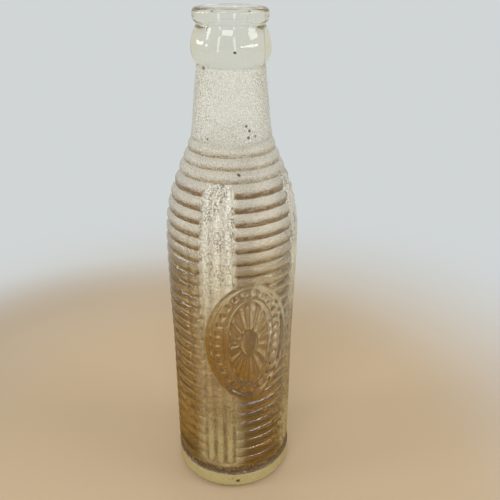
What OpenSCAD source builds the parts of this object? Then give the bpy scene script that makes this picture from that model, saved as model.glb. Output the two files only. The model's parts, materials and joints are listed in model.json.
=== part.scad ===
// Ribbed glass soda bottle, standing empty and open.
// The bottle is one continuous piece of glass. Its zones, named as a glassmaker names them,
// are solids of their own that meet face to face on level planes.
// Z points up, the standing plane is z = 0 and the bottle's axis is the Z axis.
// Angles go round from the front (-Y) towards +X.

/* [Base] */
// Height of the smooth base, up to the heel line
base_h = 8.6; // [7:0.1:12]
// Glass between the push-up and the inside floor, on the axis
floor_t = 7; // [4:0.5:9]
// Depth of the push-up under the base
pushup_depth = 2; // [1:0.1:3]
// Radius of the push-up where it leaves the standing ring
pushup_r = 17.5; // [12:0.1:19]
// Rounding between the standing ring and the wall
heel_round = 2.6; // [1.5:0.1:4]
// Rounding of the inside floor into the wall
floor_round = 4; // [2:0.5:6]
// Depth of the plain strip over the heel line, under the smooth base
strip_depth = 0.6; // [0.3:0.05:1]

/* [Body] */
// Radius of the lower body
lower_r = 25.5; // [24.5:0.1:27]
// How much the body widens from there up to its widest place, in radius
body_swell = 0.8; // [0:0.1:2]
// Thickness of the body wall, from the rib crests to the inside
wall = 3.8; // [2.6:0.1:5]
// Number of level ribs on the body
rib_count = 26; // [22:1:30]
// Height of one rib with its groove
rib_pitch = 4.93; // [4.5:0.01:5.4]
// Depth of the groove between two ribs
rib_depth = 0.9; // [0.5:0.05:1.2]
// Height of the plain strip between the base and the lowest rib
strip_h = 4.5; // [2:0.1:8]
// Depth of the plain bands under the rib crests
ground_depth = 1.1; // [0.8:0.05:1.4]

/* [Bands] */
// Number of plain vertical bands that interrupt the ribs
band_count = 4; // [3:1:5]
// Width of one band, in degrees
band_turn = 29; // [24:0.5:32]
// Number of raised bars on each band
bar_count = 3; // [2:1:3]
// Width of one bar, in degrees
bar_turn = 6.4; // [4:0.1:7]
// Turn from one bar to the next, in degrees
bar_step = 9.8; // [8.5:0.1:11]
// Depth of a bar's face under the rib crests
bar_depth = 0.25; // [0.1:0.05:0.5]
// Space between the ends of the bars and the ends of the ribbed body
bar_inset = 1.4; // [0.5:0.1:4]

/* [Medallion] */
// Turn from the front to the middle of the medallion, in degrees
medallion_turn = 28; // [0:1:45]
// Width of the medallion, measured straight across
medallion_w = 34; // [26:0.5:38]
// Ribbed space left above the medallion, and below it, in its zone of the body
medallion_margin = 2.1; // [1:0.1:6]
// Width of the medallion's raised rim
rim_w = 2.2; // [1.2:0.1:4]
// Depth of the medallion's ground under the rib crests
medallion_depth = 0.6; // [0.4:0.05:0.7]
// Depth of the rim's face under the rib crests
rim_depth = 0.05; // [0:0.01:0.2]
// Number of ribs above the medallion's zone
upper_ribs = 7; // [6:1:8]
// Number of ribs below the medallion's zone
lower_ribs = 7; // [5:1:8]

/* [Shoulder] */
// Number of unbroken rings round the shoulder
ring_count = 3; // [2:1:4]
// Height of one ring with its groove
ring_pitch = 4.1; // [3.5:0.1:5]
// Distance from the top of the ribbed body down to where the body is widest
full_drop = 35.3; // [28:0.1:45]
// Height of the shoulder's curve, from the widest place up into the neck
flare_h = 51.5; // [46:0.5:60]
// Height over which the lower body widens, up to the widest place
widen_h = 46; // [30:1:60]
// How high the shoulder keeps its fullness, as a power
fullness = 1.55; // [1.2:0.05:2.2]

/* [Neck] */
// Height of the stippled neck
neck_h = 25.7; // [20:0.1:34]
// Radius of the neck under the finish
neck_r = 12.35; // [11.8:0.05:13.2]
// How much the neck's radius grows for each millimetre down
neck_taper = 0.105; // [0.06:0.005:0.13]
// Thickness of the neck wall
neck_wall = 3.6; // [2.6:0.1:4]

/* [Crown finish] */
// Height of the whole finish
finish_h = 18.8; // [17:0.1:24]
// Radius of the lip that a crown cap grips
lip_r = 13.3; // [12.9:0.05:13.7]
// Height of the lip
lip_h = 5.5; // [5:0.1:8]
// Radius of the throat under the lip
throat_r = 12.1; // [11.4:0.05:12.5]
// Height of the narrow throat between the bulge and the lip
throat_h = 0.4; // [0.2:0.1:2]
// Radius of the bulging ring under the throat
bulge_r = 14.15; // [13.4:0.05:15]
// How low the bulging ring has its widest place, as a power; 1 puts it halfway up
bulge_lean = 0.87; // [0.8:0.01:1.1]
// Radius of the mouth
mouth_r = 8.2; // [7.6:0.05:9]
// Height of the oval rounding of the lip's upper edge
lip_round = 1.6; // [1:0.1:2.4]
// Width of that rounding
lip_top_w = 2.7; // [1.5:0.1:3]
// Rounding of the lip's lower edge
lip_under_round = 2.2; // [0.8:0.1:2.6]
// Rounding of the mouth's edge
mouth_round = 1.4; // [0.3:0.1:1.6]

/* [Hidden] */
$fn = 96;

glass = [0.80, 0.76, 0.58];

// Heights of the level planes on which the zones meet
strip_top = base_h + strip_h;
lower_top = strip_top + lower_ribs * rib_pitch;
upper_base = strip_top + (rib_count - upper_ribs) * rib_pitch;
body_top = strip_top + rib_count * rib_pitch;
shoulder_top = body_top + ring_count * ring_pitch;
neck_top = shoulder_top + neck_h;
bottle_h = neck_top + finish_h;

// Radius where the body is widest
full_r = lower_r + body_swell;

// Heights where the body is widest, where it starts to widen and where the shoulder has run out
full_z = body_top - full_drop;
lower_z = full_z - widen_h;
foot_z = full_z + flare_h;

// Middle and height of the medallion, between the planes of its zone
medallion_z = (lower_top + upper_base) / 2;
medallion_h = upper_base - lower_top - 2 * medallion_margin;

// A sector starts this deep in the wall, so that it always bites into the plain body
bite = 0.7;
// How far a cutting shape reaches out past the glass
clear_out = 6;
// Steps in one arc, in one rib and in the bulge, and the height of one step along a plain curve
arc_steps = 6;
rib_steps = 6;
bulge_steps = 12;
curve_step = 4;
// Sides of the medallion's oval
oval_sides = 40;

// 0 below 0, 1 above 1 and a smooth rise between them
function ease(t) = let(u = max(0, min(1, t))) u * u * (3 - 2 * u);

// Points on an arc, from angle a0 to a1 in degrees, in the plane of radius and height;
// squash is the arc's height for each millimetre of its width
function arc(r0, z0, r, a0, a1, squash = 1) =
    [for (i = [0 : arc_steps])
        let(a = a0 + (a1 - a0) * i / arc_steps) [r0 + r * cos(a), z0 + squash * r * sin(a)]];

// Radius of the neck's cone, continued down inside the shoulder
function cone_r(z) = neck_r + neck_taper * (neck_top - z);

// Radius over the rib crests at a height
function crest_r(z) =
    z <= full_z
        ? lower_r + (full_r - lower_r) * ease((z - lower_z) / widen_h)
        : let(u = min(1, (z - full_z) / flare_h))
          cone_r(z) + (full_r - cone_r(z)) * (1 - ease(pow(u, fullness)));

// Radius of the inside at a height, above the rounded floor
function inside_r(z) =
    let(t = ease((z - full_z) / flare_h), bore = crest_r(z) - wall - (neck_wall - wall) * t,
        u = ease((z - foot_z) / (neck_top - foot_z)))
    bore + (mouth_r - bore) * u;

// Heights along a plain curve, both ends included
function heights(z0, z1, step = curve_step) =
    let(n = ceil((z1 - z0) / step)) [for (i = [0 : n]) z0 + (z1 - z0) * i / n];

// The inside wall from the top of a zone down to its foot
function inside_wall(z0, z1) = let(h = heights(z0, z1)) [for (i = [len(h) - 1 : -1 : 0]) [inside_r(h[i]), h[i]]];

// The plain outside wall, a fixed depth under the rib crests
function plain_wall(z0, z1, depth) = [for (z = heights(z0, z1)) [crest_r(z) - depth, z]];

// The outside of ribs stacked from z0: each one bulges between two sharp grooves
function ribs(z0, count, pitch, depth) = concat(
    [for (k = [0 : count - 1], i = [0 : rib_steps - 1])
        let(t = i / rib_steps, z = z0 + (k + t) * pitch) [crest_r(z) - depth * pow(2 * t - 1, 2), z]],
    [let(z = z0 + count * pitch) [crest_r(z) - depth, z]]);

// A part of a turned shape, centred on an angle from the front
module turned_sector(middle, width) {
    rotate([0, 0, middle - width / 2 - 90])
        rotate_extrude(angle = width)
            children();
}

// The plain wall of one zone of the body, all the way round
module plain_shell(z0, z1) {
    rotate_extrude()
        polygon(concat(plain_wall(z0, z1, ground_depth), inside_wall(z0, z1)));
}

// The ribbed panels between the bands
module rib_panels(z0, count) {
    panel_turn = 360 / band_count - band_turn;
    z1 = z0 + count * rib_pitch;
    for (k = [0 : band_count - 1])
        turned_sector((k + 0.5) * 360 / band_count, panel_turn)
            polygon(concat(ribs(z0, count, rib_pitch, rib_depth),
                           [for (z = [z1, z0]) [crest_r(z) - ground_depth - bite, z]]));
}

// The raised bars on the plain bands
module bars(z0, z1) {
    inner = [for (h = heights(z0, z1)) [crest_r(h) - ground_depth - bite, h]];
    for (k = [0 : band_count - 1], i = [0 : bar_count - 1])
        turned_sector(k * 360 / band_count + (i - (bar_count - 1) / 2) * bar_step, bar_turn)
            polygon(concat(plain_wall(z0, z1, bar_depth), [for (i = [len(inner) - 1 : -1 : 0]) inner[i]]));
}

// An oval prism that points outwards through the wall at the medallion's place
module oval_prism(inset) {
    a = medallion_w / 2 - inset;
    b = medallion_h / 2 - inset;
    rotate([0, 0, medallion_turn])
        translate([0, 0, medallion_z])
            rotate([90, 0, 0])
                translate([0, 0, medallion_w / 4])
                    linear_extrude(full_r + clear_out - medallion_w / 4)
                        polygon([for (i = [0 : oval_sides - 1])
                            let(t = (i + 0.5) * 360 / oval_sides) [a * cos(t), b * sin(t)]]);
}

// Everything outside a depth under the rib crests, to clear ribs and bars away
module past_depth(z0, z1, depth) {
    rotate_extrude()
        polygon(concat(plain_wall(z0, z1, depth), [for (z = [z1, z0]) [full_r + clear_out, z]]));
}

// A shell from inside the wall out to one depth under the rib crests
module medallion_shell(z0, z1, depth) {
    rotate_extrude()
        polygon(concat(plain_wall(z0, z1, depth),
                       [for (z = [z1, z0]) [crest_r(z) - ground_depth - bite, z]]));
}

// Base: smooth thick heel with its push-up, and the plain strip over the heel line
module base() {
    floor_z = pushup_depth + floor_t;
    wall_r = inside_r(strip_top);
    round_r = min(floor_round, strip_top - floor_z);
    // the push-up is a shallow dome through its rim and its crown
    dome_r = (pushup_r * pushup_r + pushup_depth * pushup_depth) / (2 * pushup_depth);
    color(glass)
        rotate_extrude()
            polygon(concat(
                arc(0, pushup_depth - dome_r, dome_r, 90, 90 - asin(pushup_r / dome_r)),
                arc(lower_r - heel_round, heel_round, heel_round, -90, 0),
                [[lower_r, base_h],
                 [lower_r - strip_depth, base_h + strip_depth],
                 [lower_r - strip_depth, strip_top],
                 [wall_r, strip_top]],
                arc(wall_r - round_r, floor_z + round_r, round_r, 0, -90),
                [[0, floor_z]]));
}

// Lower body: the lowest ribs and the feet of the bars
module lower_body() {
    color(glass) {
        plain_shell(strip_top, lower_top);
        rib_panels(strip_top, lower_ribs);
        bars(strip_top + bar_inset, lower_top);
    }
}

// Middle of the body with the oval medallion
module medallion_body() {
    ribs_here = rib_count - upper_ribs - lower_ribs;
    color(glass) {
        difference() {
            union() {
                plain_shell(lower_top, upper_base);
                rib_panels(lower_top, ribs_here);
                bars(lower_top, upper_base);
            }
            intersection() {
                past_depth(lower_top, upper_base, ground_depth + bite / 2);
                oval_prism(0);
            }
        }
        intersection() {
            medallion_shell(lower_top, upper_base, medallion_depth);
            oval_prism(0);
        }
        intersection() {
            medallion_shell(lower_top, upper_base, rim_depth);
            difference() {
                oval_prism(0);
                oval_prism(rim_w);
            }
        }
    }
}

// Upper body: the ribs that follow the shoulder's curve
module upper_body() {
    color(glass) {
        plain_shell(upper_base, body_top);
        rib_panels(upper_base, upper_ribs);
        bars(upper_base, body_top - bar_inset);
    }
}

// Shoulder with its unbroken rings
module shoulder() {
    color(glass)
        rotate_extrude()
            polygon(concat(ribs(body_top, ring_count, ring_pitch, rib_depth), inside_wall(body_top, shoulder_top)));
}

// Stippled neck
module neck() {
    color(glass)
        rotate_extrude()
            polygon(concat([[crest_r(shoulder_top) - rib_depth, shoulder_top]],
                           plain_wall(shoulder_top + rib_depth, neck_top, 0),
                           inside_wall(shoulder_top, neck_top)));
}

// Crown finish: bulging ring, throat and rounded lip round the mouth
module crown_finish() {
    lip_z = bottle_h - lip_h;
    bulge_h = lip_z - throat_h - neck_top;
    swell = bulge_r - (neck_r + throat_r) / 2;
    // the rounding stays clear of the mouth's edge
    top_w = min(lip_top_w, lip_r - mouth_r - mouth_round);
    color(glass)
        rotate_extrude()
            polygon(concat(
                [for (i = [0 : bulge_steps])
                    let(t = i / bulge_steps, rise = 1 - pow(2 * pow(t, bulge_lean) - 1, 2))
                    [neck_r + (throat_r - neck_r) * t + swell * rise, neck_top + bulge_h * t]],
                [[throat_r, lip_z]],
                arc(lip_r - lip_under_round, lip_z + lip_under_round, lip_under_round, -60, 0),
                arc(lip_r - top_w, bottle_h - lip_round, top_w, 0, 90, lip_round / top_w),
                arc(mouth_r + mouth_round, bottle_h - mouth_round, mouth_round, 90, 180),
                [[mouth_r, neck_top]]));
}

base();
lower_body();
medallion_body();
upper_body();
shoulder();
neck();
crown_finish();
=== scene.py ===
"""A ribbed glass soda bottle, one continuous piece of straw-tinted glass, standing empty and open.

The bottle's lengths are in millimetres until its mesh is made, and the studio's are in metres.
Azimuths are in degrees, from the front (-Y) towards +X.
"""

import json
import logging
import math
from collections.abc import Callable
from dataclasses import dataclass, field
from enum import Enum
from typing import Any

import bpy
import numpy as np
from mathutils import Matrix, Vector


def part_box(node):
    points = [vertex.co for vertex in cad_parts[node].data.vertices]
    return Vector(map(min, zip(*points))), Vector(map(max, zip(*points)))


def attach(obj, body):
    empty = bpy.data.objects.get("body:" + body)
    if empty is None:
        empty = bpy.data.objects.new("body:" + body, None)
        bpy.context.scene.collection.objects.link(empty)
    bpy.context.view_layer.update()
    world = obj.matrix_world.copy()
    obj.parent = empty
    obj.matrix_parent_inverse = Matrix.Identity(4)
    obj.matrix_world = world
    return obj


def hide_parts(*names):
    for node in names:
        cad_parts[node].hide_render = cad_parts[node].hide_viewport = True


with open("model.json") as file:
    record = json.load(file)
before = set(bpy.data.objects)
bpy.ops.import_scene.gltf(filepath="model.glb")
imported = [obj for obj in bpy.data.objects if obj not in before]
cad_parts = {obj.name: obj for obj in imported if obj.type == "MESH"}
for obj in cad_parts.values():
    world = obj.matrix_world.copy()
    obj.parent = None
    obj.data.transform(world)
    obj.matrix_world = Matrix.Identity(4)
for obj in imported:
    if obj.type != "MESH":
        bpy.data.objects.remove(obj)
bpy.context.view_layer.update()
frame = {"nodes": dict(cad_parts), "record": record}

log = logging.getLogger("soda_bottle")

MM = 0.001
# Light turns back and forth this often in the thick base and along the wall before it comes out
GLASS_BOUNCES = 32
# The nodes, from the foot up
ZONES = ("base", "lower_body", "medallion_body", "upper_body", "shoulder", "neck", "crown_finish")
# The mesh's attributes that the glass reads
LAYERS = ("stipple", "film_and_shade", "bloom")
# Shares of a rib's height at which a ring of points lies
RIB_PHASES = (0.0, 0.07, 0.2, 0.35, 0.5, 0.65, 0.8, 0.93)

Array = np.ndarray
Value = float | Array
Pair = tuple[float, float]
Row = tuple[float, ...]
Named = dict[Any, Any] | None
Colour = Place = tuple[float, float, float]


def ease(t: Value) -> Value:
    """Gives 0 below 0, 1 above 1 and a smooth rise between them."""
    u = np.clip(t, 0.0, 1.0)
    return u * u * (3.0 - 2.0 * u)


def rise(value: Value, low: float, high: float) -> Value:
    """Gives 0 at low, 1 at high and a smooth rise between them; low may be the larger."""
    return ease((value - low) / (high - low))


def between(a: Value, b: Value, share: Value) -> Value:
    """Gives a where share is 0 and b where it is 1."""
    return a + (b - a) * share


def turned(azimuth: Value) -> Value:
    """Brings an azimuth between -180 and 180 degrees."""
    return (azimuth + 180.0) % 360.0 - 180.0


def grooved(phase: float, under: float, above: float) -> float:
    """How far a place on a rib is in the groove under it or over it."""
    return max(1.0 - ease(phase / under), 1.0 - ease((1.0 - phase) / above))


def arc(middle: Pair, size: Pair, start: float, end: float, steps: int) -> list[Pair]:
    """Gives points as (radius, height) on an arc, from one angle in degrees to another."""
    angles = np.radians(np.linspace(start, end, steps + 1))
    return [(middle[0] + size[0] * math.cos(a), middle[1] + size[1] * math.sin(a)) for a in angles]


def placed(name: str, data: Any) -> bpy.types.Object:
    """Makes an object and links it to the scene."""
    made = bpy.data.objects.new(name, data)
    bpy.context.scene.collection.objects.link(made)
    return made


# ---- node writing


def math_node(operation: str, swapped: bool = False) -> Callable[["Sock", Any], "Sock"]:
    """Gives a method that adds one Math node for a socket and a value, perhaps swapped."""

    def method(self: "Sock", other: Any) -> "Sock":
        """Adds the node."""
        values = (other, self) if swapped else (self, other)
        return self.board.node("Math", {"operation": operation}, dict(enumerate(values)))

    return method


@dataclass(frozen=True, eq=False)
class Sock:
    """A node's output that Python's operators turn into Math nodes."""

    board: "Board"
    link: Any

    __add__ = __radd__ = math_node("ADD")
    __sub__ = math_node("SUBTRACT")
    __rsub__ = math_node("SUBTRACT", swapped=True)
    __mul__ = __rmul__ = math_node("MULTIPLY")
    __truediv__ = math_node("DIVIDE")
    above = math_node("MAXIMUM")

    def span(self, low: float, high: float) -> "Sock":
        """Gives low where this is 0 and high where it is 1."""
        return self * (high - low) + low

    def ramp(self, low: float, high: float) -> "Sock":
        """A smooth rise from 0 at low to 1 at high; low may be the larger."""
        if low > high:
            return 1.0 - self.ramp(high, low)
        sockets = {"Value": self, "From Min": low, "From Max": high}
        return self.board.node("MapRange", {"interpolation_type": "SMOOTHSTEP"}, sockets)


class Board:
    """The node tree of a material or a world, written with one method."""

    def __init__(self, owner: Any) -> None:
        """Empties the owner's tree."""
        owner.use_nodes = True
        self.tree = owner.node_tree
        self.tree.nodes.clear()

    def node(self, kind: str, settings: Named = None, sockets: Named = None, out: Any = 0) -> Sock:
        """Adds a node.

        Args:
            kind: The node's type, without its leading ShaderNode.
            settings: Properties of the node, which are set first.
            sockets: Values or links, by input name or number.
            out: Name or number of the output to hand back.

        Returns:
            That output.
        """
        made = self.tree.nodes.new(f"ShaderNode{kind}")
        for name, value in (settings or {}).items():
            setattr(made, name, value)
        for name, value in (sockets or {}).items():
            if isinstance(value, Sock):
                self.tree.links.new(value.link, made.inputs[name])
            else:
                made.inputs[name].default_value = value
        return Sock(self, made.outputs[out] if len(made.outputs) else None)

    def shades(self, share: Sock, *stops: tuple[float, Colour]) -> Sock:
        """A colour ramp, with its stops as (place, colour)."""
        made = self.node("ValToRGB", sockets={"Fac": share})
        elements = made.link.node.color_ramp.elements
        while len(elements) < len(stops):
            elements.new(1.0)
        for element, (place, colour) in zip(elements, stops, strict=True):
            element.position, element.color = place, (*colour, 1.0)
        return made

    def mix(self, share: Any, a: Any, b: Any) -> Sock:
        """Mixes two colours."""
        first, second = ((*c, 1.0) if isinstance(c, tuple) else c for c in (a, b))
        return self.node("Mix", {"data_type": "RGBA"}, {0: share, 6: first, 7: second}, out=2)

    def vector(self, operation: str, *values: Any, out: Any = 0) -> Sock:
        """Adds one Vector Math node."""
        return self.node("VectorMath", {"operation": operation}, dict(enumerate(values)), out)

    def place(self) -> Sock:
        """The point's place on the bottle, in metres."""
        return self.node("TexCoord", out="Object")

    def height(self) -> Sock:
        """The point's height over the bottle's foot, in millimetres."""
        return self.node("SeparateXYZ", sockets={"Vector": self.place()}, out="Z") / MM

    def noise(self, scale: float, detail: float = 2.0, roughness: float = 0.5, flat: float = 1.0) -> Sock:
        """Noise over the bottle, with a scale per metre, whose grains are lower than wide by flat."""
        place = self.vector("MULTIPLY", self.place(), (1.0, 1.0, flat))
        sockets = {"Vector": place, "Scale": scale, "Detail": detail, "Roughness": roughness}
        return self.node("TexNoise", sockets=sockets)


# ---- finishes


@dataclass(frozen=True)
class DirtAndShade:
    """Rust specks, and a dark ragged line over the smooth base: partly grime in its step, partly painted
    shade where the stippled strip shows dark.

    Each pair gives where a smooth change starts and ends, and each speck its azimuth, height and radius.
    """

    foot: float = 8.7
    foot_edge: Pair = (-0.3, 0.0)
    top_edge: Pair = (3.6, 0.6)
    wander: float = 1.6
    wander_scale: float = 60.0
    ragged: float = 1.5
    ragged_scale: float = 1100.0
    grain_edge: Pair = (0.4, 0.5)
    thinning: float = 0.05
    speck_ragged: float = 0.9
    speck_edge: Pair = (1.35, 0.9)
    specks: tuple[Place, ...] = (
        (-18.1, 198.0, 0.5), (18.8, 184.6, 0.45), (-36.1, 178.9, 0.55), (34.4, 160.2, 0.45),
        (38.7, 158.4, 0.4), (36.7, 156.1, 0.45), (48.0, 156.4, 0.4), (-21.0, 155.4, 0.4),
        (21.0, 144.3, 0.5), (27.2, 136.8, 0.55), (4.6, 132.6, 0.5), (17.1, 4.7, 0.7),
        (12.1, 6.0, 0.35), (140.0, 150.0, 0.5), (205.0, 121.0, 0.45), (238.0, 60.0, 0.5),
    )

    def share(self, board: Board, mould: "Mould") -> Sock:
        """How much rust, grime and painted shade lies at the point, from 0 to 1."""
        place = board.place()
        grain = board.noise(self.ragged_scale, 2.0, 0.6)
        over = board.height() - self.foot + (board.noise(self.wander_scale, 1.0) - 0.5) * self.wander
        grains = (grain - over * self.thinning).ramp(*self.grain_edge)
        # The ragged heel line: partly grime, partly painted shade
        line = (over + (grain - 0.5) * self.ragged).ramp(*self.foot_edge)
        share = line * over.ramp(*self.top_edge) * grains
        ragged = (grain - 0.5) * self.speck_ragged
        for azimuth, height, size in self.specks:
            radius, turn = mould.skin(height), math.radians(azimuth)
            centre = (radius * math.sin(turn) * MM, -radius * math.cos(turn) * MM, height * MM)
            off = board.vector("DISTANCE", place, centre, out="Value") / MM + ragged
            share = share.above(off.ramp(*(size * edge for edge in self.speck_edge)))
        return share


@dataclass(frozen=True)
class StrawGlass:
    """Old soda glass with a straw tint, stippled by its mould and polished where it was fire-finished.

    Scales are per metre. A pair named edge or rise gives where a smooth change starts and ends, and the
    other pairs give a value outside and inside the pits or the streaks.
    """

    ior: float = 1.5
    tint: Colour = (0.872, 0.70, 0.083)
    density: float = 17.0
    clean: Colour = (0.995, 0.995, 0.99)
    # Painted shade: a yellower, browner tint low down stands in for the brown floor seen through the glass
    low_seen_floor_tint: Colour = (0.985, 0.905, 0.71)
    seen_floor_tint_rise: Pair = (50.0, 168.0)
    # Dark colour of the rust specks and of the heel line's grime and painted shade
    stain_and_shade: Colour = (0.10, 0.06, 0.035)
    polished_rough: float = 0.012
    pit_rough: Pair = (0.05, 0.33)
    dirt_and_shade_rough: float = 0.5
    pit_grain: float = 0.5
    pit_edge: Pair = (0.4, 0.68)
    pit_depth: float = 0.9
    fine_grain: float = 0.3
    fine_depth: float = 0.4
    bump_depth: float = 0.24
    streak_scale: float = 260.0
    streak_edge: Pair = (0.34, 0.62)
    streak_flat: float = 5.0
    streak_depth: float = 0.35
    # How the grime and painted shade varies over the pits and the streaks
    pit_film_and_shade: Pair = (0.65, 0.95)
    streak_film_and_shade: Pair = (0.7, 1.5)
    patch_scale: float = 160.0
    patch_edge: Pair = (0.3, 0.65)
    least_patch: float = 0.3
    grain_film: float = 0.3
    # Colours of thin and thick grime and painted shade
    thin_film_and_shade: Colour = (0.66, 0.49, 0.25)
    thick_film_and_shade: Colour = (0.15, 0.08, 0.03)
    bloom: Colour = (0.99, 0.95, 0.83)
    # Colour of the whitish skin low down: straw, partly painted light that the thick base gathers
    heel_bloom_and_light: Colour = (1.0, 0.85, 0.42)
    # Colour of the grime and painted shade on the whitish skin
    old_film_and_shade: Colour = (0.33, 0.185, 0.075)
    grime: Colour = (0.19, 0.155, 0.115)
    worn_film_and_shade: float = 1.3
    worn_dirt_and_shade: float = 6.0
    bloom_rough: float = 0.32
    least_bloom: float = 0.28
    grain_bloom: float = 0.26
    bloom_rise: Pair = (50.0, 140.0)
    dirt_and_shade: DirtAndShade = DirtAndShade()

    def material(self, name: str, mould: "Mould") -> bpy.types.Material:
        """Makes the glass.

        Args:
            name: The material's name.
            mould: The outline that the specks lie on.

        Returns:
            The material, a mix of clear glass and whitish worn skin that reads the mesh's attributes.
        """
        made = bpy.data.materials.new(name)
        board = Board(made)
        stipple, groove, bloom = (
            board.node("Attribute", {"attribute_name": layer}, out="Fac") for layer in LAYERS
        )
        # Rust specks, and the heel line's grime and painted shade
        dirt_and_shade = self.dirt_and_shade.share(board, mould)
        grain = {"Vector": board.place(), "Scale": 1.0 / (self.pit_grain * MM)}
        cell = board.node("TexVoronoi", {"feature": "F1"}, grain, out="Distance")
        pits = cell.ramp(*self.pit_edge)
        fine = board.noise(1.0 / (self.fine_grain * MM), 1.0)
        streaks = board.noise(self.streak_scale, 3.0, 0.6, self.streak_flat).ramp(*self.streak_edge)
        patches = board.noise(self.patch_scale).ramp(*self.patch_edge)
        relief = stipple * (fine * self.fine_depth - cell * cell * self.pit_depth)
        relief = relief + bloom * streaks * self.streak_depth
        bump = {"Strength": 1.0, "Distance": self.bump_depth * MM, "Height": relief}
        normal = board.node("Bump", sockets=bump)
        # Grime and painted shade, dark under the crests and in grooves and recesses
        film_and_shade = groove * pits.span(*self.pit_film_and_shade) * streaks.span(*self.streak_film_and_shade)
        grime = stipple * stipple * stipple * pits * (patches + self.least_patch) * self.grain_film
        stops = ((0.0, self.clean), (0.5, self.thin_film_and_shade), (1.0, self.thick_film_and_shade))
        filmed_and_shaded = board.shades(film_and_shade + grime, *stops)
        height = board.height()
        # Painted shade: yellower low down, for the brown floor seen through the glass
        tint = board.mix(height.ramp(*self.seen_floor_tint_rise), self.low_seen_floor_tint, self.clean)
        rough = stipple * pits.span(*self.pit_rough) + self.polished_rough
        clear = board.node(
            "BsdfPrincipled",
            sockets={
                "Base Color": board.mix(dirt_and_shade, board.vector("MULTIPLY", filmed_and_shaded, tint), self.stain_and_shade),
                "Roughness": rough + dirt_and_shade * self.dirt_and_shade_rough,
                "IOR": self.ior,
                "Transmission Weight": 1.0,
                "Normal": normal,
            },
        )
        # Low down the skin's straw colour is partly painted light
        worn = board.mix(height.ramp(*self.bloom_rise), self.heel_bloom_and_light, self.bloom)
        # Grime and painted shade darken the whitish skin too
        worn = board.mix(film_and_shade * self.worn_film_and_shade, worn, self.old_film_and_shade)
        worn = board.mix(grime * self.worn_film_and_shade, worn, self.grime)
        worn = board.mix(dirt_and_shade * self.worn_dirt_and_shade, worn, self.stain_and_shade)
        bloomed = board.node(
            "BsdfPrincipled",
            sockets={"Base Color": worn, "Roughness": self.bloom_rough, "IOR": self.ior, "Normal": normal},
        )
        share = bloom * ((1.0 - pits) * stipple * self.grain_bloom + self.least_bloom)
        shader = board.node("MixShader", sockets={0: share.above(dirt_and_shade), 1: clear, 2: bloomed})
        tinted = {"Color": (*self.tint, 1.0), "Density": self.density}
        volume = board.node("VolumeAbsorption", sockets=tinted)
        board.node("OutputMaterial", sockets={"Surface": shader, "Volume": volume})
        return made


@dataclass(frozen=True)
class PaleFloor:
    """A matt floor, sand-coloured round the bottle and paler far away; in the glass it shows a painted
    shade, darker brown near the bottle.
    """

    near: Colour = (0.56, 0.42, 0.27)
    far: Colour = (0.635, 0.665, 0.668)
    shaded: Colour = (0.27, 0.15, 0.03)
    shade_middle: Place = (-0.06, 0.0, 0.0)
    near_edge: Pair = (0.09, 0.34)
    shade_edge: Pair = (0.12, 0.2)
    glass_share: float = 0.9
    rough: float = 0.8
    gloss: float = 0.1

    def material(self, name: str) -> bpy.types.Material:
        """Makes the floor's material, whose colour follows the distance to the bottle."""
        made = bpy.data.materials.new(name)
        board = Board(made)
        far = board.vector("LENGTH", board.place(), out="Value").ramp(*self.near_edge)
        colour = board.mix(far, self.near, self.far)
        matt = board.node(
            "BsdfPrincipled",
            sockets={"Base Color": colour, "Roughness": self.rough, "Specular IOR Level": self.gloss},
        )
        # Painted shade: the glass sees the floor as an emission, darker brown near the bottle
        off = board.vector("DISTANCE", board.place(), self.shade_middle, out="Value")
        through = board.mix(off.ramp(*self.shade_edge), self.shaded, self.far)
        pale = board.node("Emission", sockets={"Color": through, "Strength": 1.0})
        kinds = ("Camera", "Glossy", "Transmission")
        camera, glossy, sent = (board.node("LightPath", out=f"Is {kind} Ray") for kind in kinds)
        share = (camera * far).above(glossy.above(sent) * self.glass_share)
        shader = board.node("MixShader", sockets={0: share, 1: matt, 2: pale})
        board.node("OutputMaterial", sockets={"Surface": shader})
        return made


# ---- the bottle's outline


@dataclass
class Ring:
    """One closed loop of points round the glass, with one value for all its columns or one for each.

    Attributes:
        radius: Distance from the axis.
        height: Height over the foot.
        stipple: How rough the skin is.
        film_and_shade: How much old grime and painted shade lies on it.
        bloom: How far it is worn white, partly painted light at the heel and painted sparkle beside the
            bands.
        every: 1 for a ring with all the columns, 2 for one with every second.
    """

    radius: Value
    height: Value
    stipple: Value = 0.0
    film_and_shade: Value = 0.0
    bloom: Value = 0.0
    every: int = 1


@dataclass(frozen=True)
class Ripple:
    """The slight waviness of pressed and blown glass, as waves round and up the bottle."""

    size: float
    turns: tuple[int, ...] = (2, 3, 5, 7)
    lengths: Row = (83.0, 47.0, 31.0, 19.0)

    def at(self, azimuth: Value, height: Value) -> Value:
        """The offset at an azimuth and a height."""
        waves = [
            np.sin(np.radians(azimuth) * n + 2.0 * math.pi * height / length + n * n)
            for n, length in zip(self.turns, self.lengths, strict=True)
        ]
        return self.size * sum(waves) / len(waves)


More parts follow.
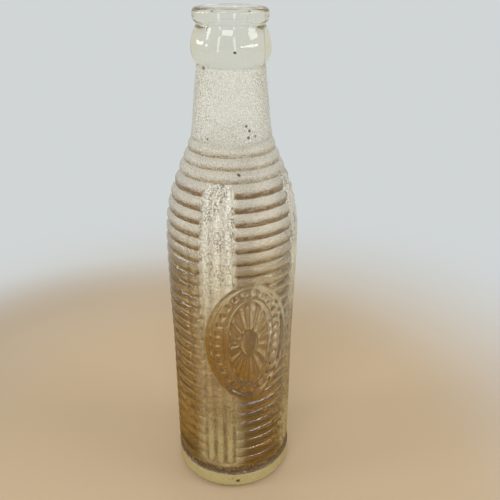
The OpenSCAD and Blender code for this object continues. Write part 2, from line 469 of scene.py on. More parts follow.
@dataclass
class Mould:
    """The turned outline that the ribs, the bands and the medallion are cut into."""

    strip_top: float
    lower_top: float
    upper_base: float
    body_top: float
    shoulder_top: float
    neck_top: float
    bottle_h: float
    mouth_r: float
    lip_r: float
    lower_r: float = 25.5
    full_r: float = 26.3
    wall: float = 3.8
    full_drop: float = 35.3
    flare_h: float = 51.5
    widen_h: float = 46.0
    fullness: float = 1.55
    neck_r: float = 12.35
    neck_taper: float = 0.105
    neck_wall: float = 3.6
    bulge_swell: float = 1.9
    lip_drop: float = 6.4
    skin_depth: float = 0.25

    @classmethod
    def from_frame(cls) -> "Mould":
        """Reads the level planes between the nodes, and the radii of the mouth and the lip."""
        tops = [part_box(node)[1].z / MM for node in ZONES]
        radii = {m["name"]: m["dims"].get("r_mm") for m in frame["record"]["mounts"]}
        return cls(*tops, mouth_r=radii["mouth_bore"], lip_r=radii["crown_lip"])

    @property
    def full_z(self) -> float:
        """Height where the body is widest."""
        return self.body_top - self.full_drop

    def crest(self, height: float) -> float:
        """Radius over the rib crests."""
        if height <= self.full_z:
            widened = ease((height - self.full_z + self.widen_h) / self.widen_h)
            return float(between(self.lower_r, self.full_r, widened))
        cone = self.neck_r + self.neck_taper * (self.neck_top - height)
        up = min(1.0, (height - self.full_z) / self.flare_h)
        return float(between(self.full_r, cone, ease(up**self.fullness)))

    def inside(self, height: float) -> float:
        """Radius of the cavity, above its rounded floor."""
        wall = between(self.wall, self.neck_wall, ease((height - self.full_z) / self.flare_h))
        foot = self.full_z + self.flare_h
        return float(between(self.crest(height) - wall, self.mouth_r, rise(height, foot, self.neck_top)))

    def skin(self, height: float) -> float:
        """Roughly the outside radius at any height, for what lies on the glass."""
        if height > self.bottle_h - self.lip_drop:
            return self.lip_r
        if height > self.neck_top:
            return self.neck_r + self.bulge_swell
        return self.crest(height) - self.skin_depth


@dataclass
class Bands:
    """Four plain vertical bands that interrupt the ribs, each with three raised bars."""

    count: int = 4
    turn: float = 29.0
    bars: int = 3
    bar_turn: float = 6.4
    bar_step: float = 9.8
    bar_depth: float = 0.25
    bar_inset: float = 1.4
    bar_end: float = 0.8
    ground: float = 1.1
    edge: float = 1.1
    crown: float = 0.35
    rib_lap: float = 0.5
    rib_end: float = 2.6
    end_round: float = 1.5
    rib_round: float = 0.7
    face_columns: Row = (0.0, 1.3)
    bar_columns: Row = (-0.75, -0.25, 0.25, 0.75)
    rib_columns: Row = (-0.1, 0.6, 1.4, 2.3, 3.4)

    def offset(self, azimuth: Value) -> Value:
        """Turn from the middle of the nearest band."""
        step = 360.0 / self.count
        return (azimuth + step / 2.0) % step - step / 2.0

    def columns(self) -> list[float]:
        """Azimuths that the bands and the ends of the ribs need."""
        sides = (-1.0, 1.0)
        own = [*self.face_columns, *(self.bar_turn / 2.0 + off for off in self.bar_columns)]
        bars = [(i - (self.bars - 1) / 2.0) * self.bar_step for i in range(self.bars)]
        offsets = {round(bar + side * step, 3) for bar in bars for step in own for side in sides}
        ends = [self.bar_step / 2.0, *(self.turn / 2.0 + more for more in self.rib_columns)]
        offsets |= {side * end for side in sides for end in ends}
        return [360.0 / self.count * k + offset for k in range(self.count) for offset in offsets]

    def bar(self, azimuth: Array, height: float, low: float, high: float) -> Array:
        """How far a point is up on the face of a bar that ends at low and high, from 0 to 1."""
        offset = self.offset(azimuth)
        half = self.bar_turn / 2.0
        index = np.clip(np.round(offset / self.bar_step), -(self.bars // 2), self.bars // 2)
        across = np.abs(offset - index * self.bar_step)
        face = 1.0 - ease((across - half + self.edge / 2.0) / self.edge)
        face = face * (1.0 - self.crown * (across / half) ** 2)
        pull = self.end_round * (across / half) ** 2
        ends = ease((height - low - pull + self.bar_end) / self.bar_end)
        ends = ends * ease((high - pull - height + self.bar_end) / self.bar_end)
        return face * ends

    def share(self, azimuth: Array, rib_phase: float) -> Array:
        """How far a point is on a band, with the ribs' ends rounded towards it."""
        rounded = self.end_round * self.rib_round * (2.0 * rib_phase - 1.0) ** 2
        start = self.turn / 2.0 - self.rib_lap + rounded
        return 1.0 - ease((np.abs(self.offset(azimuth)) - start) / self.rib_end)


@dataclass
class Medallion:
    """A raised oval with a rim, a ring of beads and a fluted sunburst round a boss."""

    middle: float
    height: float
    turn: float = 28.0
    width: float = 34.0
    ground: float = 0.75
    rim_w: float = 2.2
    rim_depth: float = 0.05
    rim_crown: float = 0.12
    bead_count: int = 26
    bead_r: float = 1.3
    bead_inset: float = 4.5
    bead_rise: float = 0.6
    line_inset: float = 7.1
    line_w: float = 1.1
    line_rise: float = 0.5
    ray_count: int = 14
    ray_inset: float = 8.6
    ray_rise: float = 0.6
    boss: float = 0.2
    boss_rise: float = 0.65
    beads: Array = field(init=False)

    def __post_init__(self) -> None:
        """Spaces the beads evenly along their oval."""
        turns = np.linspace(0.0, 2.0 * math.pi, 721)
        across = (self.width / 2.0 - self.bead_inset) * np.cos(turns)
        up = (self.height / 2.0 - self.bead_inset) * np.sin(turns)
        along = np.concatenate([[0.0], np.cumsum(np.hypot(np.diff(across), np.diff(up)))])
        marks = np.arange(self.bead_count) / self.bead_count * along[-1]
        self.beads = np.stack([np.interp(marks, along, across), np.interp(marks, along, up)], axis=1)

    def relief(self, azimuth: Array, height: float, crest: float) -> tuple[Array, Array]:
        """Depth of the medallion's face under the rib crests.

        Args:
            azimuth: Azimuths of the points.
            height: Their height.
            crest: Radius over the rib crests there.

        Returns:
            The depth, and how far the points are on the medallion, from 0 to 1.
        """
        turn = turned(azimuth - self.turn)
        near = np.abs(turn) < 80.0
        x = np.where(near, crest * np.sin(np.radians(turn)), self.width)
        z = height - self.middle
        a, b = self.width / 2.0, self.height / 2.0
        rho = np.maximum(np.sqrt((x / a) ** 2 + (z / b) ** 2), 1e-4)
        inset = (1.0 - rho) * rho / np.sqrt((x / a**2) ** 2 + (z / b**2) ** 2 + 1e-9)
        rim = ease(inset / 0.45) * ease((self.rim_w - inset) / 0.5 + 0.5)
        rim *= 1.0 - self.rim_crown * (2.0 * inset / self.rim_w - 1.0) ** 2
        off = np.hypot(x[:, None] - self.beads[:, 0], z - self.beads[:, 1]).min(axis=1)
        bead = self.bead_rise * np.sqrt(np.clip(1.0 - (off / self.bead_r) ** 2, 0.0, 1.0))
        off_line = np.abs(inset - self.line_inset) / (self.line_w / 2.0)
        line = self.line_rise * ease(1.6 - off_line * 1.2)
        ends = ease((inset - self.ray_inset) / 0.9) * ease((rho - self.boss - 0.03) / 0.06)
        ray = self.ray_rise * (0.5 + 0.5 * np.cos(np.arctan2(z / b, x / a) * self.ray_count)) * ends
        boss = self.boss_rise * np.sqrt(np.clip(1.0 - (rho / self.boss) ** 2, 0.0, 1.0))
        ground = self.ground - np.maximum.reduce([bead, line, ray, boss])
        return between(ground, self.rim_depth, rim), ease(inset / 0.4) * near


@dataclass
class Seams:
    """The two faint raised lines where the mould's halves met."""

    azimuths: Pair = (-27.2, 152.8)
    width: float = 0.9
    rise: float = 0.1

    def columns(self) -> list[float]:
        """Azimuths that the seams need."""
        return [a + self.width * share for a in self.azimuths for share in (-1.0, -0.5, 0.0, 0.5, 1.0)]

    def at(self, azimuth: Array) -> Array:
        """How far the skin stands out."""
        off = np.min([np.abs(turned(azimuth - a)) for a in self.azimuths], axis=0)
        return self.rise * ease(1.0 - off / self.width)


# ---- the bottle's zones


@dataclass
class SmoothBase:
    """The thick smooth base with its push-up, and the stippled strip over its heel line.

    The strip's rows give a depth, a rise over the heel line and a stipple.
    """

    mould: Mould
    base_h: float = 8.6
    floor_t: float = 7.0
    pushup_depth: float = 2.0
    pushup_r: float = 17.5
    heel_round: float = 2.6
    floor_round: float = 4.0
    wall_stipple: float = 0.3
    # The heel's whitish skin: partly wear, partly painted light that the thick base gathers
    wall_bloom_and_light: float = 1.2
    under_stipple: float = 0.35
    wall_rows: Row = (4.2, 6.0, 7.2)
    floor_rows: Row = (14.0, 10.0, 6.0, 2.5)
    under_h: Pair = (2.0, 0.5)
    under_r: Pair = (24.5, 23.0)
    strip_h: float = 3.0
    strip_edge: Pair = (-0.2, 0.3)
    strip_bloom: float = 0.6
    # Grime and painted shade on the strip over the heel line
    strip_film_and_shade: float = 0.8
    strip_rows: tuple[Place, ...] = (
        (0.0, -0.5, 0.3), (0.06, 0.0, 0.4), (0.35, 0.35, 0.9), (0.55, 0.7, 1.0),
        (0.6, 1.3, 0.9), (0.6, 2.4, 0.9), (0.6, 3.4, 0.9),
    )
    ragged: Ripple = Ripple(0.28, (17, 29, 43, 61), (900.0, 700.0, 800.0, 600.0))

    def outside(self) -> list[Pair]:
        """Points from the middle of the push-up out and up to just under the heel line."""
        dome_r = (self.pushup_r**2 + self.pushup_depth**2) / (2.0 * self.pushup_depth)
        span = math.degrees(math.asin(self.pushup_r / dome_r))
        dome = arc((0.0, self.pushup_depth - dome_r), (dome_r, dome_r), 90.0, 90.0 - span, 7)[1:]
        ring_end = self.mould.lower_r - self.heel_round
        ring = [(self.pushup_r + 0.8, 0.0), (ring_end - 2.0, 0.0)]
        heel = arc((ring_end, self.heel_round), (self.heel_round, self.heel_round), -90.0, 0.0, 8)
        return dome + ring + heel + [(self.mould.lower_r, height) for height in self.wall_rows]

    def roughness(self, height: float, radius: float) -> float:
        """Stipple of the base: rough underneath, nearly smooth up its wall."""
        under = rise(height, *self.under_h) * rise(radius, *self.under_r)
        return float(between(self.wall_stipple, self.under_stipple, under))

    def strip(self, azimuth: Array) -> list[Ring]:
        """The ragged heel line and the strip over it."""
        line = self.ragged.at(azimuth, 0.0)
        rings = []
        for depth, up, stipple in self.strip_rows:
            height = self.base_h + up + line * max(0.0, 1.0 - up / self.strip_h)
            # The strip's grime and painted shade rise over the heel line
            over = rise(up, *self.strip_edge)
            bloom = between(self.wall_bloom_and_light, self.strip_bloom, over)
            rings.append(Ring(self.mould.lower_r - depth, height, stipple, self.strip_film_and_shade * over, bloom))
        return rings

    def floor(self) -> list[Pair]:
        """Points down the rounding of the inside floor and in to the axis."""
        floor_z = self.pushup_depth + self.floor_t
        wall_r = self.mould.inside(self.mould.strip_top)
        size = self.floor_round
        rounding = arc((wall_r - size, floor_z + size), (size, size), 0.0, -90.0, 7)
        return rounding + [(r, floor_z + 0.15 * (1.0 - r / 17.0)) for r in self.floor_rows]


@dataclass
class RibbedBody:
    """The ribbed body with its bands, its bars and its medallion.

    Stipple is given for the ribs and the bands, and a band's grime and painted shade for its ground and
    its bars.
    """

    mould: Mould
    bands: Bands
    medallion: Medallion
    seams: Seams
    rib_pitch: float = 4.93
    rib_depth: float = 0.9
    strip_depth: float = 0.6
    strip_edge: Pair = (-0.2, 0.6)
    upper: Pair = (60.0, 120.0)
    foot: Pair = (45.0, 25.0)
    low_stipple: Pair = (0.05, 0.9)
    high_stipple: Pair = (0.3, 1.21)
    bar_polish: float = 0.4
    near_stipple: float = 0.75
    end_stipple: float = 0.3
    face_stipple: float = 0.12
    # Grime and painted shade on the ribs: dark under each crest and in the grooves
    low_film_and_shade: float = 0.38
    high_film_and_shade: float = 1.25
    low_film_and_shade_under: float = 0.42
    film_and_shade_under: float = 0.66
    film_and_shade_above: float = 0.03
    # A painted highlight line on each lower rib, where the faint painted shade is cleared
    painted_highlight_line: float = 0.85
    painted_highlight_width: float = 0.18
    # A faint painted shade over the lower body, for the brown floor seen through the glass
    faint_painted_shade: float = 0.04
    faint_painted_shade_rise: Pair = (15.0, 50.0)
    # Grime and painted shade on the bands, darker between the bars, and deeper in the medallion's recesses
    low_band_film_and_shade: Pair = (0.6, 0.5)
    high_band_film_and_shade: Pair = (0.12, 0.04)
    band_fade: Pair = (75.0, 110.0)
    foot_film_and_shade: float = 0.42
    face_film_and_shade: float = 0.08
    bloom_rise: Pair = (100.0, 128.0)
    high_bloom: float = 0.5
    # Whitish worn skin beside the bands, most near the foot, partly painted sparkle
    worn_sparkle_turn: float = 14.0
    worn_sparkle_share: float = 0.3
    worn_sparkle_foot: float = 1.4
    wobble: Ripple = Ripple(0.1, (3, 7, 11, 19), (91.0, 37.0, 23.0, 11.0))
    wobble_share: float = 0.5
    fine_phases: Row = tuple(i / 10.0 for i in range(10))

    def rings(self, azimuth: Array) -> list[Ring]:
        """All the rings of the body, from its lowest rib to its highest."""
        mould = self.mould
        made = []
        for k in range(round((mould.body_top - mould.strip_top) / self.rib_pitch)):
            low = mould.strip_top + k * self.rib_pitch
            fine = mould.lower_top - 0.1 < low < mould.upper_base - 0.1
            phases = self.fine_phases if fine else RIB_PHASES
            made += [self.ring(azimuth, low, phase) for phase in phases]
        return made

    def ring(self, azimuth: Array, low: float, phase: float) -> Ring:
        """One ring.

        Args:
            azimuth: Azimuths of the columns.
            low: Height of the groove under this rib.
            phase: Share of the rib that lies under the ring.

        Returns:
            The ring, with the depth of everything cut into the outline there and how its skin looks.
        """
        mould, bands = self.mould, self.bands
        height = low + phase * self.rib_pitch
        crest = mould.crest(height)
        inset = bands.bar_inset
        bar = bands.bar(azimuth, height, mould.strip_top + inset, mould.body_top - inset)
        on_band = bands.share(azimuth, phase)
        face, on_face = self.medallion.relief(azimuth, height, crest)
        rib = self.rib_depth * abs(2.0 * phase - 1.0) ** 2
        depth = between(between(rib, between(bands.ground, bands.bar_depth, bar), on_band), face, on_face)
        depth = between(self.strip_depth, depth, rise(height - mould.strip_top, *self.strip_edge))
        waves = self.wobble.size + self.wobble.at(azimuth, height)
        depth = depth + waves * (1.0 - on_face) * self.wobble_share
        depth = depth - self.seams.at(azimuth) * (1.0 - on_face)

        upper = rise(height, *self.upper)
        foot = rise(height, *self.foot)
        near = 1.0 - ease((np.abs(bands.offset(azimuth)) - bands.turn / 2.0) / self.worn_sparkle_turn)
        plain, banded = between(np.array(self.low_stipple), np.array(self.high_stipple), upper)
        plain = plain + (1.0 - upper) * self.near_stipple * near
        banded = banded * (1.0 - self.bar_polish * bar * (1.0 - upper))
        stipple = between(plain, banded, on_band) + self.end_stipple * (4.0 * on_band * (1.0 - on_band))
        stipple = between(stipple, self.face_stipple, on_face)

        # Faint painted shade low down, for the brown floor seen through the glass
        faint_painted_shade = self.faint_painted_shade * rise(height, *self.faint_painted_shade_rise) * (1.0 - upper)
        ground, top = self.low_band_film_and_shade
        low_film_and_shade = between(ground, top - self.foot_film_and_shade * foot, bar)
        high_film_and_shade = between(*self.high_band_film_and_shade, bar)
        band_film_and_shade = between(low_film_and_shade, high_film_and_shade, rise(height, *self.band_fade))
        film_and_shade = between(self.film_and_shade(phase, upper, faint_painted_shade), band_film_and_shade, on_band)
        # Grime and painted shade, darker the deeper the medallion's face
        film_and_shade = between(film_and_shade, faint_painted_shade + self.face_film_and_shade * face / self.medallion.ground, on_face)

        # Beside the bands the whitish skin is partly painted sparkle
        worn = self.worn_sparkle_share * near * (1.0 + self.worn_sparkle_foot * foot)
        ribs = np.maximum(rise(height, *self.bloom_rise), worn)
        bloom = between(ribs, 1.0 + self.high_bloom * upper, on_band) * (1.0 - on_face)
        return Ring(crest - np.maximum(depth, 0.0), height, stipple, film_and_shade, bloom)

    def film_and_shade(self, phase: float, upper: float, faint_painted_shade: float) -> float:
        """Grime and painted shade on a rib: thick in the groove and under the crest, thin on the crest's
        upper side, and faint low down but for a painted highlight line.
        """
        groove = grooved(phase, between(self.low_film_and_shade_under, self.film_and_shade_under, upper), self.film_and_shade_above)
        # A painted highlight line, where the faint painted shade is cleared
        clean = max(0.0, 1.0 - abs(phase - self.painted_highlight_line) / self.painted_highlight_width)
        return float(max(groove * between(self.low_film_and_shade, self.high_film_and_shade, upper), faint_painted_shade * (1.0 - clean)))


@dataclass
class Shoulder:
    """The shoulder with its unbroken rings."""

    mould: Mould
    seams: Seams
    count: int = 3
    pitch: float = 4.1
    depth: float = 0.9
    stipple: float = 0.4
    # Grime and painted shade in the rings' grooves
    film_and_shade: float = 0.6
    film_and_shade_edge: Pair = (0.6, 0.05)
    seam: float = 0.8

    def rings(self, azimuth: Array) -> list[Ring]:
        """The rings of the shoulder, from the top of the body to the foot of the neck."""
        made = []
        for k in range(self.count):
            for phase in RIB_PHASES:
                height = self.mould.body_top + (k + phase) * self.pitch
                depth = self.depth * (2.0 * phase - 1.0) ** 2 - self.seams.at(azimuth) * self.seam
                radius = self.mould.crest(height) - np.maximum(depth, 0.0)
                film_and_shade = self.film_and_shade * grooved(phase, *self.film_and_shade_edge)
                made.append(Ring(radius, height, self.stipple, film_and_shade, 1.0))
        return made


@dataclass
class Neck:
    """The stippled neck."""

    mould: Mould
    seams: Seams
    groove: float = 0.9
    groove_h: float = 1.1
    rows: int = 12
    stipple: float = 0.6
    bloom: float = 1.5
    share: float = 0.6
    ripple: Ripple = Ripple(0.07)

    def rings(self, azimuth: Array) -> list[Ring]:
        """The rings of the neck, from the last groove to the foot of the finish."""
        low, top = self.mould.shoulder_top, self.mould.neck_top
        plain = np.linspace(low + self.groove_h, top - 0.6, self.rows)
        made = []
        for height in [low, low + 0.35, low + 0.7, *plain, top]:
            cut = self.groove * (1.0 - ease((height - low) / self.groove_h)) ** 1.5
            wave = (self.ripple.at(azimuth, height) - self.ripple.size) * self.share
            radius = self.mould.crest(height) - cut + wave + self.seams.at(azimuth) * self.share
            stipple = 0.0 if height == top else self.stipple
            made.append(Ring(radius, height, stipple, bloom=stipple * self.bloom))
        return made


@dataclass
class CrownFinish:
    """The smooth finish: a bulging ring, a throat and the rounded lip that a crown cap grips."""

    mould: Mould
    lip_h: float = 5.5
    throat_r: float = 12.1
    throat_h: float = 0.4
    bulge_r: float = 14.15
    bulge_lean: float = 0.87
    lip_round: float = 1.6
    lip_top_w: float = 2.7
    lip_under_round: float = 2.2
    mouth_round: float = 1.4

    def outside(self) -> list[Pair]:
        """Points from just over the neck up to the top of the lip."""
        mould = self.mould
        lip_z = mould.bottle_h - self.lip_h
        bulge_h = lip_z - self.throat_h - mould.neck_top
        swell = self.bulge_r - (mould.neck_r + self.throat_r) / 2.0
        bulge = []
        for t in np.linspace(0.0, 1.0, 15)[1:]:
            plain = between(mould.neck_r, self.throat_r, t)
            round_out = swell * (1.0 - (2.0 * t**self.bulge_lean - 1.0) ** 2)
            bulge.append((plain + round_out, mould.neck_top + bulge_h * t))
        size = self.lip_under_round
        under = arc((mould.lip_r - size, lip_z + size), (size, size), -60.0, 0.0, 6)
        width, high = self.lip_top_w, self.lip_round
        top = arc((mould.lip_r - width, mould.bottle_h - high), (width, high), 0.0, 90.0, 9)
        return bulge + [(self.throat_r + 0.03, lip_z)] + under + top

    def mouth(self) -> list[Pair]:
        """Points over the mouth's edge and down its bore to the foot of the finish."""
        mould, size = self.mould, self.mouth_round
        edge = arc((mould.mouth_r + size, mould.bottle_h - size), (size, size), 90.0, 180.0, 6)
        heights = np.linspace(mould.bottle_h - 2.5, mould.neck_top, 6)
        return edge + [(mould.mouth_r, height) for height in heights]


@dataclass
class GlassBottle:
    """The whole bottle as one closed skin of glass, outside and inside."""

    mould: Mould
    base: SmoothBase
    body: RibbedBody
    shoulder: Shoulder
    neck: Neck
    finish: CrownFinish
    glass: StrawGlass = StrawGlass()
    plain_gap: float = 4.2
    fine_gap: float = 1.12
    finish_seam: float = 0.8
    out_of_round: Ripple = Ripple(0.05, (2, 3, 4, 5), (60.0, 45.0, 33.0, 27.0))
    inner_wave: Ripple = Ripple(0.3, (1, 2, 3, 5), (97.0, 61.0, 39.0, 24.0))
    inner_rows: int = 26

    def columns(self) -> Array:
        """Azimuths of the columns, closer where bars, rib ends, seams or the medallion need it."""
        medallion = self.body.medallion
        reach = math.degrees(math.asin(medallion.width / 2.0 / self.mould.full_r)) + 0.8
        keys = self.body.bands.columns() + self.body.seams.columns()
        places = sorted({round(turned(key), 3) for key in keys})
        made = []
        for low, high in zip(places, [*places[1:], places[0] + 360.0], strict=True):
            near = abs(turned((low + high) / 2.0 - medallion.turn)) < reach
            steps = max(1, math.ceil((high - low) / (self.fine_gap if near else self.plain_gap) - 0.05))
            made += list(np.linspace(low, high, steps, endpoint=False))
        return np.array(made)

    def plain_rings(
        self, points: list[Pair], azimuth: Array, ripple: Ripple, every: int = 2, seam: float = 0.0
    ) -> list[Ring]:
        """Turns points into smooth rings, with a ripple that only takes glass away and faint seams."""
        own = azimuth[::every]
        made = []
        for radius, height in points:
            wave = (ripple.at(own, height) - ripple.size) * 0.5 * min(1.0, radius / 12.0)
            made.append(Ring(radius + wave + self.body.seams.at(own) * seam, height, every=every))
        return made

    def cavity(self, azimuth: Array) -> list[Ring]:
        """The rings of the inside wall, from the foot of the finish down to the floor's middle."""
        top = self.mould.neck_top
        heights = np.linspace(top, self.mould.strip_top, self.inner_rows + 1)[1:-1]
        made = []
        for radius, height in [(self.mould.inside(h), h) for h in heights] + self.base.floor():
            calm = ease((top - height) / 20.0) * rise(radius, 4.0, 20.0)
            made.append(Ring(radius + self.inner_wave.at(azimuth[::2], height) * calm, height, every=2))
        return made

    def rings(self, azimuth: Array) -> tuple[list[Ring], int]:
        """All the rings, from the push-up over the lip to the inside, and which is the last outside."""
        outside = self.plain_rings(self.base.outside(), azimuth, self.out_of_round)
        for ring in outside:
            ring.stipple = self.base.roughness(ring.height, float(np.mean(ring.radius)))
            ring.bloom = self.base.wall_bloom_and_light * float(ease(ring.height / 3.0))
        outside += self.base.strip(azimuth) + self.body.rings(azimuth)
        outside += self.shoulder.rings(azimuth) + self.neck.rings(azimuth)
        outside += self.plain_rings(self.finish.outside(), azimuth, self.out_of_round, 1, self.finish_seam)
        inside = self.plain_rings(self.finish.mouth(), azimuth, Ripple(0.0)) + self.cavity(azimuth)
        return outside + inside, len(outside) - 1

    def build(self, name: str) -> bpy.types.Object:
        """Makes the bottle's mesh and dresses it in glass."""
        azimuth = self.columns()
        skin = Skin(azimuth, *self.rings(azimuth))
        made = skin.object(name, self.base.pushup_depth, self.base.floor()[-1][1])
        made.data.materials.append(self.glass.material("straw_glass", self.mould))
        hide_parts(*frame["nodes"])
        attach(made, "root")
        return made


@dataclass
class Skin:
    """Weaves rings of points into one closed mesh with a map for its two sides."""

    azimuth: Array
    rings: list[Ring]
    last_outside: int
    outside_share: float = 0.72
    inside_start: float = 0.73

    def points(self) -> tuple[Array, dict[str, Array], list[int]]:
        """The rings' points in metres, what the glass reads at them, and each ring's first number."""
        rows, starts, total = [], [], 0
        read = {layer: [] for layer in LAYERS}
        for ring in self.rings:
            turn = np.radians(self.azimuth[:: ring.every])
            level = np.zeros_like(turn)
            place = [ring.radius * np.sin(turn), -ring.radius * np.cos(turn), ring.height + level]
            rows.append(np.stack(place, axis=1) * MM)
            for layer, values in read.items():
                values.append(getattr(ring, layer) + level)
            starts.append(total)
            total += len(turn)
        whole = {layer: np.concatenate(values) for layer, values in read.items()}
        return np.concatenate(rows), whole, starts

    def lengths(self) -> Array:
        """Length along the middle of the skin to each ring, in millimetres."""
        radius = np.array([np.mean(r.radius) for r in self.rings])
        height = np.array([np.mean(r.height) for r in self.rings])
        return np.concatenate([[0.0], np.cumsum(np.hypot(np.diff(radius), np.diff(height)))])

    def object(self, name: str, bottom: float, floor: float) -> bpy.types.Object:
        """Makes the object.

        Args:
            name: The object's name.
            bottom: Height of the point on the axis that closes the first ring.
            floor: The same for the last ring.

        Returns:
            The object, smooth, with what the glass reads and its map.
        """
        points, read, starts = self.points()
        caps = np.array([[0.0, 0.0, bottom * MM], [0.0, 0.0, floor * MM]])
        columns = len(self.azimuth)
        edges = np.append(self.azimuth - self.azimuth[0], 360.0) / 360.0
        along = self.lengths()
        split, inner = along[self.last_outside], self.inside_start
        faces, uvs = [], []

        def number(column: int, row: int) -> int:
            """The point's number at a column and a row."""
            return starts[row] + (column % columns) // self.rings[row].every

        def spot(column: int, row: int, outer: bool) -> Pair:
            """The map's place for a column and a row."""
            start, width = (0.0, self.outside_share) if outer else (inner, 1.0 - inner)
            first, last = (0.0, split) if outer else (split, along[-1])
            return start + edges[column] * width, (along[row] - first) / (last - first) * 0.98 + 0.01

        for row in range(len(self.rings) - 1):
            low, high = self.rings[row].every, self.rings[row + 1].every
            for column in range(0, columns, max(low, high)):
                for corners in self.cell(column, row, low, high):
                    faces.append(tuple(number(c, r) for c, r in corners))
                    uvs += [spot(c, r, row < self.last_outside) for c, r in corners]
        for row, cap, outer in ((0, len(points), True), (len(self.rings) - 1, len(points) + 1, False)):
            every = self.rings[row].every
            for column in range(0, columns, every):
                here = [(column, row), (column + every, row)]
                if outer:
                    here.reverse()
                faces.append((*(number(c, r) for c, r in here), cap))
                uvs += [spot(c, r, outer) for c, r in here]
                uvs.append((spot(column, row, outer)[0], 0.0 if outer else 1.0))

        mesh = bpy.data.meshes.new(name)
        mesh.from_pydata(np.concatenate([points, caps]).tolist(), [], faces)
        mesh.shade_smooth()
        for layer, values in read.items():
            data = mesh.attributes.new(layer, "FLOAT", "POINT").data
            data.foreach_set("value", np.append(values, [0.0, 0.0]).astype(np.float32))
        mesh.uv_layers.new(name="OFBake").uv.foreach_set("vector", np.array(uvs, np.float32).ravel())
        mesh.update()
        return placed(name, mesh)

    @staticmethod
    def cell(column: int, row: int, low: int, high: int) -> list[tuple[tuple[int, int], ...]]:
        """Faces, as corners of (column, row), between two rings with steps of low and high columns."""
        here, over = ([(column + step, level) for step in range(3)] for level in (row, row + 1))
        if low == high:
            return [(here[0], here[low], over[low], over[0])]
        if low > high:
            return [(here[0], over[1], over[0]), (here[0], here[2], over[1]), (here[2], over[2], over[1])]
        return [(here[0], here[1], over[0]), (here[1], over[2], over[0]), (here[1], here[2], over[2])]


# ---- the studio


class Light(Enum):
    """The lamps round the bottle."""

    PANE = "pane"
    STRIP = "strip"
    WINDOW = "window"
    SIDE = "side_window"
    FILL = "fill"
    BACK = "back_fill"


@dataclass(frozen=True)
class Lamp:
    """A soft lamp that faces the bottle, seen only in what reflects it; glints light nothing matt."""

    role: Light
    azimuth: float
    elevation: float
    distance: float
    size: Pair
    radiance: float
    glints: bool = False

    def build(self) -> None:
        """Makes the lamp, with its power from its radiance."""
        data = bpy.data.lights.new(self.role.value, "AREA")
        data.shape = "RECTANGLE"
        data.size, data.size_y = self.size
        data.energy = self.radiance * math.pi * self.size[0] * self.size[1]
        lamp = placed(self.role.value, data)
        lamp.visible_diffuse = not self.glints
        lamp.visible_transmission = lamp.visible_camera = False
        turn, up = math.radians(self.azimuth), math.radians(self.elevation)
        away = Vector((math.sin(turn) * math.cos(up), -math.cos(turn) * math.cos(up), math.sin(up)))
        lamp.location = Vector((0.0, 0.0, 0.1)) + away * self.distance
        lamp.rotation_euler = (-away).to_track_quat("-Z", "Y").to_euler()


@dataclass
class Studio:
    """The floor, the lamps and the soft light all round."""

    floor_r: float = 14.0
    floor_gap: float = 0.15
    floor_sides: int = 96
    finish: PaleFloor = PaleFloor()
    lamps: tuple[Lamp, ...] = (
        Lamp(Light.PANE, -22.0, 13.0, 1.15, (0.12, 0.95), 4.5),
        Lamp(Light.PANE, 24.0, 13.0, 1.15, (0.12, 0.95), 4.5),
        Lamp(Light.STRIP, -78.0, 9.0, 2.2, (1.8, 0.22), 9.0, True),
        Lamp(Light.STRIP, 68.0, 9.0, 2.2, (2.2, 0.22), 8.0, True),
        Lamp(Light.WINDOW, 2.0, 44.0, 2.4, (1.2, 0.6), 5.6),
        Lamp(Light.SIDE, -66.0, 28.0, 2.2, (0.5, 0.6), 7.0),
        Lamp(Light.FILL, 88.0, 30.0, 2.4, (1.1, 0.7), 5.0),
        Lamp(Light.BACK, 190.0, 34.0, 2.6, (1.4, 0.7), 2.0),
    )
    horizon: Colour = (0.635, 0.665, 0.668)
    overhead: Colour = (0.58, 0.59, 0.59)
    sky_edge: Pair = (0.24, 0.8)

    def build(self) -> None:
        """Makes the floor, the lamps and the world."""
        mesh = bpy.data.meshes.new("floor")
        turns = np.linspace(0.0, 2.0 * math.pi, self.floor_sides, endpoint=False)
        size, low = self.floor_r, -self.floor_gap * MM
        rim = [(size * math.cos(turn), size * math.sin(turn), low) for turn in turns]
        mesh.from_pydata(rim, [], [tuple(range(self.floor_sides))])
        mesh.materials.append(self.finish.material("pale_floor"))
        floor = placed("floor", mesh)
        for lamp in self.lamps:
            lamp.build()
        self.world()

    def world(self) -> None:
        """Makes the surroundings: pale at the horizon and darker overhead."""
        world = bpy.data.worlds.new("studio")
        bpy.context.scene.world = world
        board = Board(world)
        way = board.node("TexCoord", out="Generated")
        up = board.node("SeparateXYZ", sockets={"Vector": way}, out="Z")
        low, high = self.sky_edge
        colour = board.shades(up, (0.0, self.horizon), (low, self.horizon), (high, self.overhead))
        background = board.node("Background", sockets={"Color": colour, "Strength": 1.0})
        board.node("OutputWorld", sockets={"Surface": background})


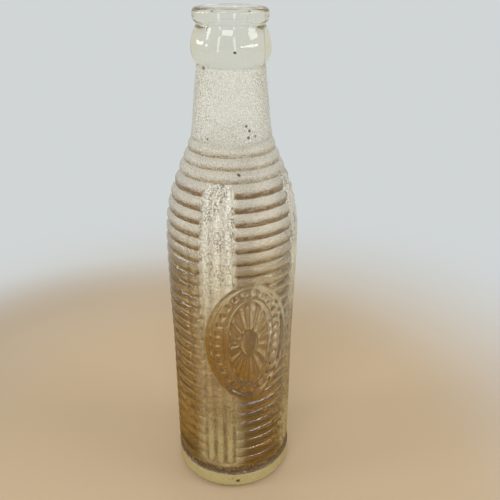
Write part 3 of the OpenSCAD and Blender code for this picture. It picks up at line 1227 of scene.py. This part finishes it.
@dataclass
class Camera:
    """The camera, by its place round the bottle's axis, in degrees and millimetres."""

    azimuth: float = 11.5
    distance: float = 216.6
    aside: float = 7.123
    height: float = 212.11
    pitch: float = 26.086
    roll: float = 0.378
    lens: float = 42.727
    sensor: float = 36.0

    def build(self) -> bpy.types.Object:
        """Makes the camera and hands the scene to it."""
        data = bpy.data.cameras.new("camera")
        data.lens, data.sensor_width = self.lens, self.sensor
        data.clip_start = 0.01
        camera = placed("camera", data)
        turn, pitch = math.radians(self.azimuth), math.radians(self.pitch)
        towards = Vector((math.sin(turn), -math.cos(turn), 0.0))
        right = Vector((math.cos(turn), math.sin(turn), 0.0))
        ahead = -towards * math.cos(pitch) - Vector((0.0, 0.0, math.sin(pitch)))
        level = Matrix((right, right.cross(ahead), -ahead)).transposed().to_4x4()
        place = (towards * self.distance + right * self.aside + Vector((0.0, 0.0, self.height))) * MM
        rolled = level @ Matrix.Rotation(math.radians(self.roll), 4, "Z")
        camera.matrix_world = Matrix.Translation(place) @ rolled
        bpy.context.scene.camera = camera
        return camera


def main() -> None:
    """Builds the bottle and its studio."""
    logging.basicConfig(level=logging.INFO, format="%(name)s: %(message)s")
    camera = Camera().build()
    log.info("camera at %s", tuple(round(c, 4) for c in camera.location))
    mould = Mould.from_frame()
    seams = Seams()
    medallion = Medallion(
        middle=(mould.lower_top + mould.upper_base) / 2.0,
        height=mould.upper_base - mould.lower_top - 4.2,
    )
    bottle = GlassBottle(
        mould=mould,
        base=SmoothBase(mould),
        body=RibbedBody(mould, Bands(), medallion, seams),
        shoulder=Shoulder(mould, seams),
        neck=Neck(mould, seams),
        finish=CrownFinish(mould),
    ).build("glass_bottle")
    log.info("%s: %d points, %d faces", bottle.name, len(bottle.data.vertices), len(bottle.data.polygons))
    Studio().build()
    scene = bpy.context.scene
    scene.view_settings.view_transform = "Standard"
    cycles = scene.cycles
    cycles.max_bounces = cycles.transmission_bounces = cycles.glossy_bounces = GLASS_BOUNCES


if __name__ == "__main__":
    main()
